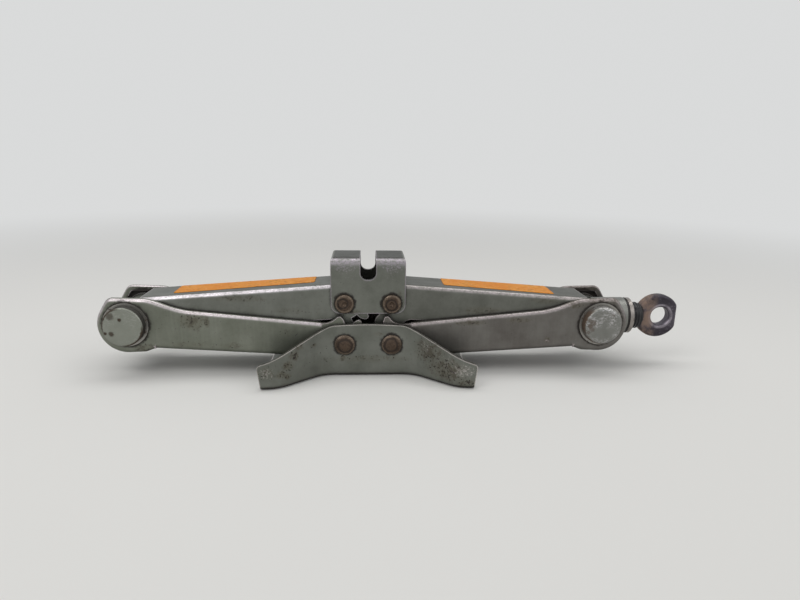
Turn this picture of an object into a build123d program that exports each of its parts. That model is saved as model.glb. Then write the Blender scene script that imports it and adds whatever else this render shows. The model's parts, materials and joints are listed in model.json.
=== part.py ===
from build123d import *
import math
import os

# Scissor jack, folded flat. Millimetres: X runs along the screw, Y is depth, Z is up from the floor.
# Driving dimensions
pivot_spacing = 36.0  # between the two pins of the base, and of the saddle
arm_length = 164.0  # pin to trunnion, the same on all four arms
base_pin_height = 25.6
closed_rise = 31.0  # saddle pins above base pins when folded

pivot_clearance = 0.08  # radial play of every turning pin
side_clearance = 0.1  # play between pieces that rub side by side
fixed_clearance = 0.02  # radial play of rings that are fixed on their shaft
pick_tolerance = 0.01  # for finding edges to round

upper_inside = 32.4  # between the two cheeks of an upper arm
upper_sheet = 2.5
spacer_thickness = 2.8  # rings between upper and lower cheeks
lower_sheet = 2.6
saddle_sheet = 2.8
base_sheet = 3.0

# Gear teeth on the inner ends of the arms
tooth_count = 8  # teeth of the full wheel that the sector belongs to
teeth_per_arm = 3
pressure_angle = 25.0
tooth_reach = 0.8  # tooth height outside the pitch circle, in modules
tooth_play = 0.6  # backlash along the pitch circle
root_gap = 1.1
first_tooth = 12.0  # degrees above the line of the pins, on the left lower arm
gusset_run = 11.5  # sloped shoulder behind the last tooth

# Upper arms
upper_ear_radius = 14.2
upper_web_start = 11.0  # from the trunnion axis
upper_web_stop = 7.0  # short of the saddle pin, hidden under the saddle
upper_web_height = 17.9  # over the arm's line at the trunnion
upper_web_fall = 3.3  # lost along the web
upper_depth = 27.0  # cheek height under the web
upper_bend = 4.0
upper_shoulder = 11.9  # lower edge at the toothed end, under the pin

# Lower arms
lower_ear_radius = 21.7
ear_shift = 0.4  # the ear's centre lies this far outside the trunnion axis
ear_drop = 1.3  # and this far under it
ear_lean = 154.0  # direction that the ear's straight shoulder faces, in degrees
ear_corner = 6.8
lip_height = 20.6  # top of the ear over the trunnion axis
lip_tilt = 4.0  # the ear's top falls by these degrees towards the shoulder
lip_bend = 3.6  # outside radius of the turned-in lip
lip_width = 5.3  # from the outer face inwards
lip_roll = 4.4  # height of the rolled lip
lip_curl = 1.6  # round on the lip's inner edge
lip_flat = 11.0  # straight stretch past the trunnion axis
lip_curve = 34.0  # length of the curve down to the arm
lip_curve_height = 14.4
lip_curve_ease = 1.0  # keeps the curve's lower end soft
lip_end = 147.5
lip_end_height = 14.3
lower_shoulder = 14.3  # upper edge at the toothed end, over the pin
heel_tilt = 8.0  # degrees that the heel rises, from the ear's round on
heel_reach = 10.9  # length of the heel
heel_slope = 26.0  # degrees of the step up to the web
heel_round = 7.0
web_drop = 17.6
web_end_drop = 13.2
web_bend = 4.0

# Base bracket
base_length = 161.5
base_foot_width = 111.0
base_waist_margin = 16.0  # straight middle of the walls past the pins
base_foot_run = 14.8  # stretch of each foot that runs straight again
base_fold = 22.0
base_top_height = 40.5  # at the shoulders
base_crown = 1.7  # the top is this much higher in the middle
base_crown_round = 280.0
base_top_margin = 10.0  # level top of the walls past the pins
base_toe = 9.8  # nearly level end of each foot
base_foot_height = 18.5
base_slope_height = 21.8
base_bend = 4.0
base_shoulder_round = 18.0
base_end_rake = 2.5  # the feet's ends lean out by this much

# Saddle bracket
saddle_margin = 10.5  # past the pins at each end
saddle_skirt = 8.0  # under the saddle pins
saddle_rise = 34.8  # over the saddle pins
saddle_bend = 8.0
saddle_corner = 7.0
saddle_top_corner = 3.0
slot_width = 12.0
slot_depth = 16.7
slot_corner = 5.6

# Pins and rivet heads
pin_diameter = 10.0
pin_shoulder = 13.0
rivet_height = 3.4
dome_diameter = 15.4  # base rivets
dome_rise = 2.4
ring_diameter = 14.6  # saddle rivets, with a hollow inside a ring
ring_round = 1.4
hollow_diameter = 9.4
hollow_depth = 0.6
dimple_radius = 2.2

# Trunnions
trunnion_diameter = 26.0
journal_diameter = 18.0
spacer_diameter = 26.0
washer_diameter = 33.4
washer_thickness = 1.2
head_diameter = 29.8
head_height = 6.8
nut_head_bevel = 0.8
block_head_round = 3.0
boss_diameter = 29.5
boss_reach = 26.6  # from the trunnion axis to the bearing face

# Screw and thrust bearing
screw_diameter = 14.0
screw_tail = 20.0  # past the axis of the trunnion nut
screw_point = 1.5  # chamfer at the tail
stop_diameter = 19.0
stop_length = 4.0
keeper_diameter = 21.0
keeper_length = 5.0
race_diameter = 29.0
inner_race_diameter = 25.0
race_thickness = 1.8
ball_diameter = 3.0
ball_count = 10
ball_play = 0.1
ball_gap = 2.2  # between the races
cage_thickness = 1.6
cage_diameter = 28.2
thrust_washer_thickness = 1.2
collar_diameter = 20.8
collar_length = 11.5
collar_round = 6.0
socket_depth = 8.0  # screw's end inside the collar
eye_reach = 13.0  # from the collar to the centre of the eye
eye_diameter = 35.6
eye_thickness = 9.0
eye_hole = 15.0
eye_hole_shift = 1.6  # towards the squared end
eye_flat = 15.4  # from the centre of the eye to its squared end
eye_corner = 5.0
eye_round = 2.6
eye_countersink = 1.4

# Layers, as half depths from the middle plane outwards
upper_inner = upper_inside / 2
upper_outer = upper_inner + upper_sheet
lower_inner = upper_outer + spacer_thickness + 2 * side_clearance
lower_outer = lower_inner + lower_sheet
saddle_inner = upper_outer + side_clearance
saddle_outer = saddle_inner + saddle_sheet
base_inner = lower_outer + side_clearance
base_outer = base_inner + base_sheet
washer_inner = lower_outer + side_clearance
head_inner = washer_inner + washer_thickness

# Lengths that follow the pins and the feet
saddle_length = pivot_spacing + 2 * saddle_margin
base_waist = pivot_spacing + 2 * base_waist_margin
base_top_flat = pivot_spacing + 2 * base_top_margin
base_flare_end = base_length - 2 * base_foot_run
base_slope_end = base_length - 2 * base_toe

# Places in the folded jack
rest_angle = math.degrees(math.asin(closed_rise / (2 * arm_length)))
trunnion_x = pivot_spacing / 2 + arm_length * math.cos(math.radians(rest_angle))
trunnion_z = base_pin_height + closed_rise / 2
saddle_pin_z = base_pin_height + closed_rise
pin_hole = pin_diameter / 2 + pivot_clearance
journal_hole = journal_diameter / 2 + pivot_clearance
screw_hole = screw_diameter / 2 + pivot_clearance
fixed_hole = screw_diameter / 2 + fixed_clearance
ring_hole = journal_diameter / 2 + fixed_clearance

# Places along the screw, from the axis of the right trunnion
ball_x = boss_reach + ball_gap / 2
ball_circle = (screw_diameter + inner_race_diameter) / 4
outer_race_x = boss_reach + ball_gap
thrust_washer_x = outer_race_x + race_thickness
collar_x = thrust_washer_x + thrust_washer_thickness
collar_end = collar_x + collar_length
eye_x = collar_end + eye_reach
tail_x = -2 * trunnion_x - screw_tail
keeper_x = -trunnion_diameter / 2 - side_clearance - keeper_length

# Gear geometry
pitch_radius = pivot_spacing / 2
module = 2 * pitch_radius / tooth_count
tip_radius = pitch_radius + tooth_reach * module
root_radius = pitch_radius - tooth_reach * module - root_gap
base_circle = pitch_radius * math.cos(math.radians(pressure_angle))
tooth_pitch = 360 / tooth_count


def polar(radius, degrees):
    return (radius * math.cos(math.radians(degrees)), radius * math.sin(math.radians(degrees)))


def around(centre, radius, degrees):
    step = polar(radius, degrees)
    return (centre[0] + step[0], centre[1] + step[1])


def between(facing_a, reach_a, facing_b, reach_b):
    """Point that lies this far out in two directions, both in degrees."""
    a, b = math.radians(facing_a), math.radians(facing_b)
    across = math.sin(b - a)
    x = (reach_a * math.sin(b) - reach_b * math.sin(a)) / across
    return (x, (reach_b * math.cos(a) - reach_a * math.cos(b)) / across)


def reach_in(point, facing):
    """How far out a point lies in a direction."""
    step = polar(1, facing)
    return point[0] * step[0] + point[1] * step[1]


def involute(radius):
    """Degrees that an involute has turned through where it crosses this radius."""
    angle = math.acos(min(1.0, base_circle / radius))
    return math.degrees(math.tan(angle) - angle)


# Ear and heel of a lower arm, from the trunnion axis
ear_centre = (-ear_shift, -ear_drop)
heel_facing = 270 + heel_tilt
heel_step = 270 + heel_slope
heel_start = around(ear_centre, lower_ear_radius - heel_round, heel_facing)
heel_centre = around(heel_start, heel_reach, heel_tilt)
heel_end = around(heel_centre, heel_round, heel_step)
step_run = (-web_drop - heel_end[1]) / math.sin(math.radians(heel_slope))
web_start = around(heel_end, step_run, heel_slope)


def tooth_half_angle(radius):
    pitch_half = math.degrees((math.pi * module / 2 - tooth_play) / 2 / pitch_radius)
    return pitch_half + involute(pitch_radius) - involute(radius)


def tooth_face():
    """One tooth along +X, as a wedge from the pin's centre."""
    radii = (base_circle, pitch_radius, tip_radius)
    low = [polar(r, -tooth_half_angle(r)) for r in radii]
    high = [polar(r, tooth_half_angle(r)) for r in radii]
    outline = Line((0, 0), low[0])
    outline += ThreePointArc(*low)
    outline += ThreePointArc(low[2], (tip_radius, 0), high[2])
    outline += ThreePointArc(*reversed(high))
    outline += Line(high[0], (0, 0))
    return make_face(outline)


def gear_end(first_angle, shoulder_height):
    """Toothed end about the pin, teeth upwards from the first angle, with the shoulder behind the last."""
    face = Circle(root_radius)
    for k in range(teeth_per_arm):
        face += Rot(0, 0, first_angle + k * tooth_pitch) * tooth_face()
    last_angle = first_angle + (teeth_per_arm - 1) * tooth_pitch
    tip = polar(tip_radius, last_angle + tooth_half_angle(tip_radius))
    foot = (tip[0] - gusset_run, shoulder_height)
    shoulder = TangentArc(foot, tip, tangent=(1, 0))
    shoulder += Polyline(tip, (0, 0), (foot[0], 0), foot)
    return face + make_face(shoulder)


def along_y(diameter, start, stop):
    """Round bar along Y between two depths."""
    bar = extrude(Plane.XZ * Circle(diameter / 2), start - stop)
    return Pos(0, start, 0) * bar


def along_x(diameter, start, stop):
    bar = extrude(Plane.YZ * Circle(diameter / 2), stop - start)
    return Pos(start, 0, 0) * bar


def ring_y(diameter, hole, start, thickness):
    return along_y(diameter, start, start + thickness) - along_y(hole, start, start + thickness)


def ring_x(diameter, hole, start, thickness):
    return along_x(diameter, start, start + thickness) - along_x(hole, start, start + thickness)


def cheeks(face, inner, thickness):
    """The same sheet outline in front of and behind the middle plane."""
    front = Pos(0, -inner, 0) * extrude(Plane.XZ * face, thickness)
    return front + Pos(0, 2 * inner + thickness, 0) * front


def channel(inner, sheet, bend, depth, start, stop, flip):
    """Bent channel whose web runs from start to stop, both (x, z), with its cheeks down, or up if flipped."""
    length = math.dist(start, stop)
    direction = ((stop[0] - start[0]) / length, 0, (stop[1] - start[1]) / length)
    turn = Plane(origin=(start[0], 0, start[1]), x_dir=(0, -1, 0) if flip else (0, 1, 0), z_dir=direction)
    outer = Pos(0, -depth / 2) * Rectangle(2 * (inner + sheet), depth)
    outer = fillet(outer.vertices().group_by(Axis.Y)[-1], bend)
    hollow = Pos(0, -depth / 2 - sheet) * Rectangle(2 * inner, depth)
    hollow = fillet(hollow.vertices().group_by(Axis.Y)[-1], max(bend - sheet, sheet / 4))
    return extrude(turn * (outer - hollow), length)


def upper_arm(first_angle):
    """Left upper arm, trunnion at the origin and saddle pin at +X. Its web is on top."""
    web_end = arm_length - upper_web_stop
    top_end = upper_web_height - upper_web_fall
    web = channel(
        upper_inner, upper_sheet, upper_bend, upper_depth,
        (upper_web_start, upper_web_height), (web_end, top_end), False,
    )
    under_bend = top_end - upper_bend
    strip = make_face(Polyline(
        (web_end - upper_bend, under_bend), (web_end, under_bend), (web_end + upper_bend, top_end),
        (arm_length, root_radius), (arm_length, -root_radius), (web_end - upper_bend, -root_radius),
        close=True,
    ))
    outline = Circle(upper_ear_radius) + strip
    outline += Pos(arm_length, 0) * mirror(gear_end(first_angle, upper_shoulder), about=Plane.XZ)
    arm = cheeks(outline, upper_inner, upper_sheet) + web
    arm -= along_y(2 * journal_hole, -base_outer, base_outer)
    return arm - Pos(arm_length, 0, 0) * along_y(2 * pin_hole, -base_outer, base_outer)


def lip_path(inset):
    """Edge of a lower arm from the web round heel, ear and top to the lip's end, moved in by the inset."""
    radius = lower_ear_radius - inset
    corner = ear_corner - inset
    crest = (lip_flat, lip_height)
    top_facing = 90 + lip_tilt
    shoulder_reach = reach_in(ear_centre, ear_lean) + lower_ear_radius - ear_corner
    bend = between(ear_lean, shoulder_reach, top_facing, reach_in(crest, top_facing) - ear_corner)
    top = around(crest, -inset, top_facing)
    low = (lip_flat + lip_curve, lip_curve_height - inset)
    heel = heel_round - inset
    step_start = around(heel_centre, heel, heel_step)
    path = Line(around(step_start, step_run, heel_slope), step_start)
    path += CenterArc(heel_centre, heel, heel_step, heel_facing - heel_step)
    path += Line(around(heel_centre, heel, heel_facing), around(ear_centre, radius, heel_facing))
    path += CenterArc(ear_centre, radius, heel_facing, ear_lean - heel_facing)
    path += Line(around(ear_centre, radius, ear_lean), around(bend, corner, ear_lean))
    path += CenterArc(bend, corner, ear_lean, top_facing - ear_lean)
    path += Line(around(bend, corner, top_facing), top)
    handle = around(top, lip_curve / 4, lip_tilt)
    ease = (lip_flat + lip_curve / 2, low[1] + lip_curve_ease)
    path += Bezier(top, handle, ease, low)
    return path + Line(low, (lip_end, lip_end_height - inset))


def lip_band(near, far):
    """Strip between two insets of the top edge."""
    outer = lip_path(near)
    inner = lip_path(far)
    band = outer + inner + Line(outer.edges()[0] @ 0, inner.edges()[0] @ 0)
    return make_face(band + Line(outer.edges()[-1] @ 1, inner.edges()[-1] @ 1))


def lip_rim(band, half_depth):
    """Top edges of a lip at this half depth."""
    edge_line = Plane.XZ * lip_path(0)
    rim = [e for e in band.edges() if abs(abs((e @ 0.5).Y) - half_depth) < pick_tolerance]
    return [e for e in rim if edge_line.distance_to(Vector((e @ 0.5).X, 0, (e @ 0.5).Z)) < pick_tolerance]


def turned_lip():
    """Lip rolled inwards along the top edge of both cheeks."""
    reach = lip_bend + lower_sheet
    lip = extrude(Plane.XZ * lip_band(0, reach), lower_outer, both=True)
    lip = fillet(lip_rim(lip, lower_outer), lip_bend)
    lip -= extrude(Plane.XZ * lip_band(lip_roll, reach + side_clearance), lower_inner, both=True)
    lip -= Box(4 * arm_length, 2 * (lower_outer - lip_width), 4 * arm_length)
    return fillet(lip_rim(lip, lower_outer - lip_width), lip_curl)


def lower_cheek(first_angle):
    """Sheet outline of a lower arm inside its bends, with the toothed end."""
    path = lip_path(lip_bend)
    above_web = (web_start[0], -web_drop + web_bend)
    body = Curve() + path.edges()
    body += Polyline(path @ 1, (lip_end, -web_end_drop + web_bend), above_web, path @ 0)
    outline = make_face(body)
    outline += make_face(Polyline(web_start, above_web, path @ 0, close=True))
    outline += make_face(Polyline(
        (lip_end, lip_end_height), (arm_length - gusset_run, lower_shoulder), (arm_length, lower_shoulder),
        (arm_length, -root_radius), (lip_end, -web_end_drop),
        close=True,
    ))
    return outline + Pos(arm_length, 0) * gear_end(first_angle, lower_shoulder)


def lower_arm(first_angle):
    """Left lower arm, trunnion at the origin and base pin at +X. Its web is underneath."""
    web = channel(
        lower_inner, lower_sheet, web_bend, 2 * web_bend,
        web_start, (lip_end, -web_end_drop), True,
    )
    arm = cheeks(lower_cheek(first_angle), lower_inner, lower_sheet) + web + turned_lip()
    arm -= along_y(2 * journal_hole, -base_outer, base_outer)
    return arm - Pos(arm_length, 0, 0) * along_y(2 * pin_hole, -base_outer, base_outer)


def place_left(arm, turn):
    return Pos(-trunnion_x, 0, trunnion_z) * Rot(0, turn, 0) * arm


def place_right(arm, turn):
    """A right arm is a left arm turned round, since front and rear are alike."""
    return Rot(0, 0, 180) * place_left(arm, turn)


def base_plan(inset):
    """Waisted outline of the base from above, moved in by the inset."""
    run = (base_flare_end - base_waist) / 2
    flare = math.atan2(base_foot_width / 2 - base_outer, run)
    shift = inset * math.tan(flare / 2)
    waist = base_waist / 2 + shift
    foot = base_flare_end / 2 + shift
    side = base_outer - inset
    end_side = base_foot_width / 2 - inset
    half = base_length / 2
    points = [(-half, -end_side), (-foot, -end_side), (-waist, -side)]
    points += [(-x, y) for x, y in reversed(points)]
    tight = base_fold + inset
    wide = base_fold + base_sheet - inset
    front = FilletPolyline(*points, radius=[wide, tight, tight, wide])
    rear = mirror(front, about=Plane.XZ)
    ends = Line(points[0], (points[0][0], end_side)) + Line(points[-1], (points[-1][0], end_side))
    return make_face(front + rear + ends)


def base_elevation():
    """Front outline of the base: level top, sloping shoulders and low feet."""
    half = base_length / 2
    right = [(base_top_flat / 2, base_top_height), (base_slope_end / 2, base_slope_height)]
    right += [(half, base_foot_height), (half - base_end_rake, 0)]
    crown = [(0, base_top_height + base_crown)]
    points = [(-x, z) for x, z in reversed(right)] + crown + right
    radii = [base_sheet, base_fold, base_shoulder_round]
    top = FilletPolyline(*points, radius=radii + [base_crown_round] + radii[::-1])
    return make_face(top + Line(points[-1], points[0]))


def base_bracket():
    """Pressed tray with a floor, two side walls that flare at the feet, and open ends."""
    height = base_top_height + base_crown
    tray = extrude(base_plan(0), height)
    bottom = [e for e in tray.edges() if abs(e.center().Z) < pick_tolerance]
    bottom = [e for e in bottom if abs(abs(e.center().X) - base_length / 2) > pick_tolerance]
    tray = fillet(bottom, base_bend)
    tray -= Pos(0, 0, base_sheet) * extrude(base_plan(base_sheet), height)
    tray &= extrude(Plane.XZ * base_elevation(), base_foot_width, both=True)
    for side in (-1, 1):
        hole = along_y(2 * pin_hole, -base_foot_width, base_foot_width)
        tray -= Pos(side * pivot_spacing / 2, 0, base_pin_height) * hole
    return tray


def saddle_bracket():
    """Folded cap over the upper arms, with a slot across its top for a sill seam."""
    height = saddle_skirt + saddle_rise
    section = Pos(0, -height / 2) * Rectangle(2 * saddle_outer, height)
    section = fillet(section.vertices().group_by(Axis.Y)[-1], saddle_bend)
    hollow = Pos(0, -height / 2 - saddle_sheet) * Rectangle(2 * saddle_inner, height)
    section -= fillet(hollow.vertices().group_by(Axis.Y)[-1], saddle_bend - saddle_sheet)
    cap = extrude(Plane.YZ * section, saddle_length / 2, both=True)
    front = Pos(0, -height / 2) * Rectangle(saddle_length, height)
    front = fillet(front.vertices().group_by(Axis.Y)[0], saddle_corner)
    front = fillet(front.vertices().group_by(Axis.Y)[-1], saddle_top_corner)
    slot = Rectangle(slot_width, 2 * slot_depth)
    front -= fillet(slot.vertices().group_by(Axis.Y)[0], slot_corner)
    cap &= extrude(Plane.XZ * front, 2 * saddle_outer, both=True)
    cap = Pos(0, 0, saddle_pin_z + saddle_rise) * cap
    for side in (-1, 1):
        hole = along_y(2 * pin_hole, -base_outer, base_outer)
        cap -= Pos(side * pivot_spacing / 2, 0, saddle_pin_z) * hole
    return cap


def hinge_pin(shoulder_half, seat, heads):
    """Shouldered pin along Y, with riveted heads on a seat at this half depth."""
    pin = along_y(pin_diameter, -seat, seat) + heads(seat)
    return pin + along_y(pin_shoulder, -shoulder_half, shoulder_half)


def domed_heads(seat):
    end = seat + rivet_height
    ball_radius = (dome_diameter ** 2 / 4 + dome_rise ** 2) / (2 * dome_rise)
    dome = Pos(0, end - ball_radius, 0) * Sphere(ball_radius)
    head = along_y(dome_diameter, seat, end) & dome
    return head + Rot(0, 0, 180) * head


def ringed_heads(seat):
    end = seat + rivet_height
    heads = along_y(ring_diameter, -end, -seat) + along_y(ring_diameter, seat, end)
    rims = heads.edges().filter_by(GeomType.CIRCLE).group_by(Axis.Y)
    heads = fillet(rims[0] + rims[-1], ring_round)
    for side in (-1, 1):
        heads -= along_y(hollow_diameter, side * end, side * (end - hollow_depth))
        heads -= Pos(0, side * (end + dimple_radius / 3), 0) * Sphere(dimple_radius)
    return heads


def trunnion(head_finish, finish_size):
    """Cross bar between the arms' ears with a journal and a head at each end."""
    end = head_inner + head_height
    bar = along_y(head_diameter, -end, -head_inner) + along_y(head_diameter, head_inner, end)
    rims = bar.edges().filter_by(GeomType.CIRCLE).group_by(Axis.Y)
    bar = head_finish(rims[0] + rims[-1], finish_size)
    bar += along_y(journal_diameter, -head_inner, head_inner)
    waist = upper_inner - side_clearance
    return bar + along_y(trunnion_diameter, -waist, waist)


def screw_bore():
    reach = 2 * boss_reach
    return along_x(2 * screw_hole, -reach, reach)


def trunnion_block():
    """Right trunnion: a boss towards the handle end carries the thrust bearing."""
    block = trunnion(fillet, block_head_round) + along_x(boss_diameter, 0, boss_reach)
    seat_depth = race_thickness
    block -= along_x(inner_race_diameter + 2 * fixed_clearance, boss_reach - seat_depth, boss_reach)
    return block - screw_bore()


def race(diameter, start):
    """Thrust race with a ball groove in the face towards the balls."""
    ring = ring_x(diameter, 2 * screw_hole, start, race_thickness)
    groove = Torus(ball_circle, ball_diameter / 2 + ball_play)
    return ring - Pos(ball_x, 0, 0) * Rot(0, 90, 0) * groove


def on_ball_circle(piece):
    """Copies of a piece on the ball circle, in the middle of the gap between the races."""
    spots = PolarLocations(ball_circle, ball_count)
    return [Pos(ball_x, 0, 0) * Rot(0, 90, 0) * spot * piece for spot in spots]


def ball_cage():
    cage = ring_x(
        cage_diameter, 2 * screw_hole + 2 * ball_play,
        boss_reach + (ball_gap - cage_thickness) / 2, cage_thickness,
    )
    for pocket in on_ball_circle(Cylinder(ball_diameter / 2 + ball_play, ball_gap)):
        cage -= pocket
    return cage


def eye():
    """Flat forged eye for the handle hook, rounded all over, with a squared end."""
    plate = Circle(eye_diameter / 2)
    plate &= Pos(eye_flat - eye_diameter, 0) * Rectangle(2 * eye_diameter, 2 * eye_diameter)
    plate = fillet(plate.vertices(), eye_corner)
    body = extrude(Plane.XZ * plate, eye_thickness / 2, both=True)
    body = fillet(body.edges().group_by(Axis.Y)[0] + body.edges().group_by(Axis.Y)[-1], eye_round)
    body -= Pos(eye_hole_shift, 0, 0) * along_y(eye_hole, -eye_thickness, eye_thickness)
    for side in (-1, 1):
        cone = Cone(eye_hole / 2, eye_hole / 2 + 2 * eye_countersink, 2 * eye_countersink)
        body -= Pos(eye_hole_shift, side * eye_thickness / 2, 0) * Rot(-side * 90, 0, 0) * cone
    return body


def handle_eye():
    """Collar that is fixed on the screw's end, with the eye forged on to it."""
    collar = along_x(collar_diameter, collar_x, collar_end)
    rims = collar.edges().filter_by(GeomType.CIRCLE).group_by(Axis.X)
    collar = fillet(rims[-1], collar_round)
    neck_length = eye_reach + eye_hole_shift - eye_hole / 2 - eye_countersink
    neck = Cone(collar_diameter / 2 - collar_round, (eye_thickness - eye_round) / 2, neck_length)
    collar += Pos(collar_end + neck_length / 2, 0, 0) * Rot(0, 90, 0) * neck
    collar += Pos(eye_x, 0, 0) * eye()
    return collar - along_x(2 * fixed_hole, collar_x, collar_x + socket_depth)


def lead_screw():
    """Plain bar at the thread's outer size, measured from the axis of the right trunnion."""
    bar = along_x(screw_diameter, tail_x, collar_x + socket_depth)
    rims = bar.edges().filter_by(GeomType.CIRCLE).group_by(Axis.X)
    return chamfer(rims[0], screw_point)


def at_right(piece):
    return Pos(trunnion_x, 0, trunnion_z) * piece


def at_left(piece):
    return Pos(-trunnion_x, 0, trunnion_z) * piece


leading = first_tooth + rest_angle
trailing = leading - tooth_pitch / 2
parts = {}
parts["base_bracket"] = base_bracket()
parts["saddle_bracket"] = saddle_bracket()
parts["lower_left_arm"] = place_left(lower_arm(leading), rest_angle)
parts["lower_right_arm"] = place_right(lower_arm(trailing), rest_angle)
parts["upper_left_arm"] = place_left(upper_arm(trailing), -rest_angle)
parts["upper_right_arm"] = place_right(upper_arm(leading), -rest_angle)

base_pin = hinge_pin(lower_inner - side_clearance, base_outer, domed_heads)
saddle_pin = hinge_pin(upper_inner - side_clearance, saddle_outer, ringed_heads)
for name, side in (("left", -1), ("right", 1)):
    parts["base_pin_" + name] = Pos(side * pivot_spacing / 2, 0, base_pin_height) * base_pin
    parts["saddle_pin_" + name] = Pos(side * pivot_spacing / 2, 0, saddle_pin_z) * saddle_pin

parts["trunnion_nut"] = at_left(trunnion(chamfer, nut_head_bevel) - screw_bore())
parts["trunnion_block"] = at_right(trunnion_block())
spacer_inner = upper_outer + side_clearance
spacer_starts = {"front": -spacer_inner - spacer_thickness, "rear": spacer_inner}
washer_starts = {"front": -head_inner, "rear": washer_inner}
for name, place in (("left", at_left), ("right", at_right)):
    for face in ("front", "rear"):
        spacer = ring_y(spacer_diameter, 2 * ring_hole, spacer_starts[face], spacer_thickness)
        parts["spacer_" + face + "_" + name] = place(spacer)
        washer = ring_y(washer_diameter, 2 * ring_hole, washer_starts[face], washer_thickness)
        parts["head_washer_" + face + "_" + name] = place(washer)

parts["lead_screw"] = at_right(lead_screw())
parts["handle_eye"] = at_right(handle_eye())
stop_x = tail_x + screw_point
parts["screw_stop"] = at_right(ring_x(stop_diameter, 2 * fixed_hole, stop_x, stop_length))
parts["screw_keeper"] = at_right(ring_x(keeper_diameter, 2 * fixed_hole, keeper_x, keeper_length))
parts["thrust_race_inner"] = at_right(race(inner_race_diameter, boss_reach - race_thickness))
parts["thrust_race_outer"] = at_right(race(race_diameter, outer_race_x))
parts["thrust_cage"] = at_right(ball_cage())
balls = on_ball_circle(Sphere(ball_diameter / 2))
parts["thrust_balls"] = at_right(Compound(children=balls))
end_washer = ring_x(race_diameter, 2 * fixed_hole, thrust_washer_x, thrust_washer_thickness)
parts["thrust_washer"] = at_right(end_washer)

os.makedirs("parts", exist_ok=True)
for name, piece in parts.items():
    export_step(piece, "parts/" + name + ".step")
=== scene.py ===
import bpy
import bmesh
import json
import math
from functools import partial
from mathutils import Matrix, Vector, noise


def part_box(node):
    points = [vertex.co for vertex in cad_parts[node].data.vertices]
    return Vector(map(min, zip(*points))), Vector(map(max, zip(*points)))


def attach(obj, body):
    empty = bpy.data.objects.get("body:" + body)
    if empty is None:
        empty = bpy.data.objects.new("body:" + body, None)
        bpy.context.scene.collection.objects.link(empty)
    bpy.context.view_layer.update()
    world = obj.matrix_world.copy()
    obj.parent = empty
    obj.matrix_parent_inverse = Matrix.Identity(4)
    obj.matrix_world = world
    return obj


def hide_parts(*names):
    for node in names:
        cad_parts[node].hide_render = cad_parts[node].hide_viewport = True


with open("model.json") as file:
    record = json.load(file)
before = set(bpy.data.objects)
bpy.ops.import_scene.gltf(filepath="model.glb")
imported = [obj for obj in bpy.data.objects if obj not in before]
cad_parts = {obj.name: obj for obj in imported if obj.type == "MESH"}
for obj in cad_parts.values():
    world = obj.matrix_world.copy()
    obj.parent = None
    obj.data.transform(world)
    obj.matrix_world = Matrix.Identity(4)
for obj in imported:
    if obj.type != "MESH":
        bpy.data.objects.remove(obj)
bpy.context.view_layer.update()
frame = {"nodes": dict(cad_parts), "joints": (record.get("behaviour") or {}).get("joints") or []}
nodes = frame["nodes"]
pivots = {joint["name"]: Vector(joint["pos_m"]) for joint in frame["joints"]}
mm = 0.001
smooth = {"interpolation_type": "SMOOTHSTEP"}  # a mask with soft ends
rgba = {"out": 2, "data_type": "RGBA"}  # a mix of colours
print("frame loaded:", len(nodes), "nodes")


def linear(code):  # sRGB hex to linear colour
    parts = [int(code[i:i + 2], 16) / 255 for i in (1, 3, 5)]
    return tuple(p / 12.92 if p < 0.04045 else ((p + 0.055) / 1.055) ** 2.4 for p in parts) + (1.0,)


def addNode(tree, kind, inputs=None, out=0, **settings):  # one node, its settings, its values and its links
    node = tree.nodes.new(kind if "Node" in kind else "ShaderNode" + kind)
    for key, value in settings.items():
        setattr(node, key, value)
    for key, value in (inputs or {}).items():
        if isinstance(value, bpy.types.NodeSocket):
            tree.links.new(value, node.inputs[key])
        else:
            node.inputs[key].default_value = value
    return node.outputs[out] if len(node.outputs) else node


def startMaterial(name):  # empty tree, a shader and the piece's own coordinates in mm
    material = bpy.data.materials.new(name)
    material.use_nodes = True
    material.node_tree.nodes.clear()
    add = partial(addNode, material.node_tree)
    surface = add("BsdfPrincipled")
    add("OutputMaterial", {"Surface": surface})
    coords = add("TexCoord", out="Object")
    place = add("Mapping", {"Vector": coords, "Scale": (1 / mm, 1 / mm, 1 / mm)})
    return material, add, surface.node, place


def finishMaterial(material, shader, tone, rough, height, bump, metal=None):  # what the nodes give to the shader
    tree = material.node_tree
    strength, deep = bump
    raised = addNode(tree, "Bump", {"Strength": strength, "Distance": deep * mm, "Height": height})
    for socket, value in (("Base Color", tone), ("Roughness", rough), ("Normal", raised), ("Metallic", metal)):
        if value:
            tree.links.new(value, shader.inputs[socket])
    return material


def reachFrom(add, place, x, z, wide=1, high=1):  # distance from a spot in the front view, over its half sizes
    spot = add("Mapping", {"Vector": place, "Location": (-x / wide, 0, -z / high),
                           "Scale": (1 / wide, 0, 1 / high)})
    return add("VectorMath", {0: spot}, out="Value", operation="LENGTH")


def breakThrough(add, pattern, area, cut, soft, most):  # shows where a pattern passes a cut that falls in the area
    fall, level = cut
    cut = add("Math", {0: area, 1: -fall, 2: level}, operation="MULTIPLY_ADD")
    over = add("Math", {0: pattern, 1: cut}, operation="SUBTRACT")
    return add("MapRange", {"Value": over, "From Min": soft[0], "From Max": soft[1], "To Max": most}, **smooth)


def edgeWear(add, radius, agreement, most):  # shows where the rounded normal leaves the face's own
    rounded = add("Bevel", {"Radius": radius * mm}, samples=6)
    facing = add("NewGeometry", out="Normal")
    agree = add("VectorMath", {0: rounded, 1: facing}, out="Value", operation="DOT_PRODUCT")
    flat, sharp = agreement
    return add("MapRange", {"Value": agree, "From Min": flat, "From Max": sharp, "To Max": most}, **smooth)


def middleOf(node):  # mm
    low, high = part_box(node)
    return (low + high) / 2 / mm


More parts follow.
